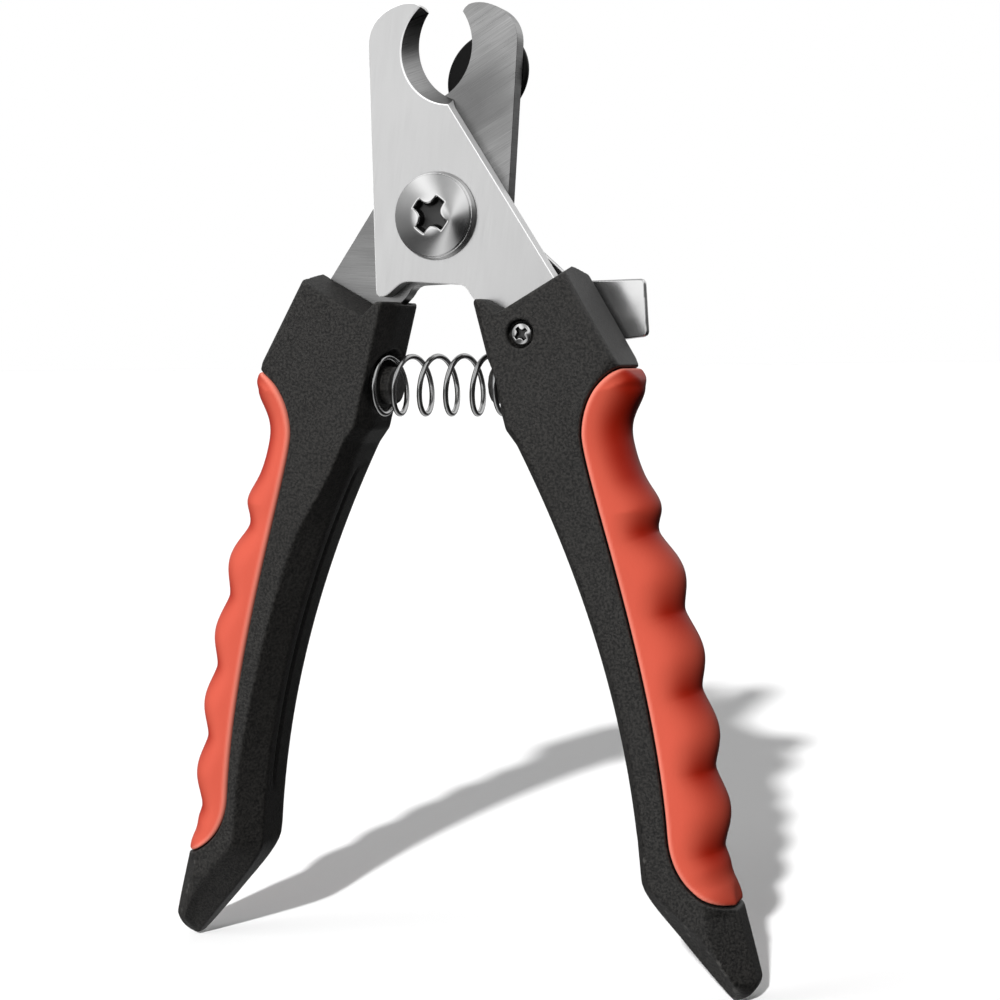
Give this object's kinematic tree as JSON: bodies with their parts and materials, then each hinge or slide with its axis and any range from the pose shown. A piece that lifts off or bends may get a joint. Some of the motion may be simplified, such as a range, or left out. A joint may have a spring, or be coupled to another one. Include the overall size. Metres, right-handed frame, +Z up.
{
  "type": "scissor pet nail clipper",
  "caption": "Scissor pet nail clipper with hooked steel blades on a pivot screw, moulded handles with soft wavy grips, a return spring and a swinging nail stop.",
  "frame": {"origin": "centre of the overall box, on the surface that the two handle tips stand on", "axes": "+Z up from the handle tips to the jaws, -Y out of the front (the pivot screw's head), +X to the viewer's right"},
  "size_m": [0.1126, 0.0164, 0.1691],
  "materials": {
    "blade_steel": "satin, brushed",
    "guard_steel": "polished sheet",
    "bright_steel": "bright plated",
    "spring_steel": "bright plated wire",
    "insert_brass": "machined",
    "handle_plastic": "fine moulded texture",
    "grip_rubber": "soft satin",
    "pad_plastic": "smooth",
    "nylon": "smooth"
  },
  "bodies": {
    "right_half": {"blade_front": "blade_steel", "right_handle": "handle_plastic", "right_grip": "grip_rubber", "right_handle_screw": "bright_steel", "right_screw_insert": "insert_brass", "pivot_screw": "bright_steel", "pivot_bush": "insert_brass", "wave_washer": "bright_steel", "pivot_washer": "bright_steel", "lock_nut": "bright_steel", "nut_insert": "nylon", "return_spring": "spring_steel"},
    "left_half": {"blade_rear": "blade_steel", "left_handle": "handle_plastic", "left_grip": "grip_rubber", "left_handle_screw": "bright_steel", "left_screw_insert": "insert_brass"},
    "nail_stop": {"guard_lever": "guard_steel", "guard_pad": "pad_plastic", "guard_rivet": "bright_steel"}
  },
  "joints": [
    {"name": "handle_pivot", "type": "hinge", "parent": "right_half", "child": "left_half", "pos_m": [0, -0.0012, 0.1326], "axis": [0, -1, 0], "range_deg": [0, 22], "stiffness_Nm_per_rad": 1.6, "springref_deg": -5.73, "deforming": ["return_spring"]},
    {"name": "stop_swing", "type": "hinge", "parent": "right_half", "child": "nail_stop", "pos_m": [0, -0.0012, 0.1326], "axis": [0, 1, 0], "range_deg": [-20, 45]}
  ]
}
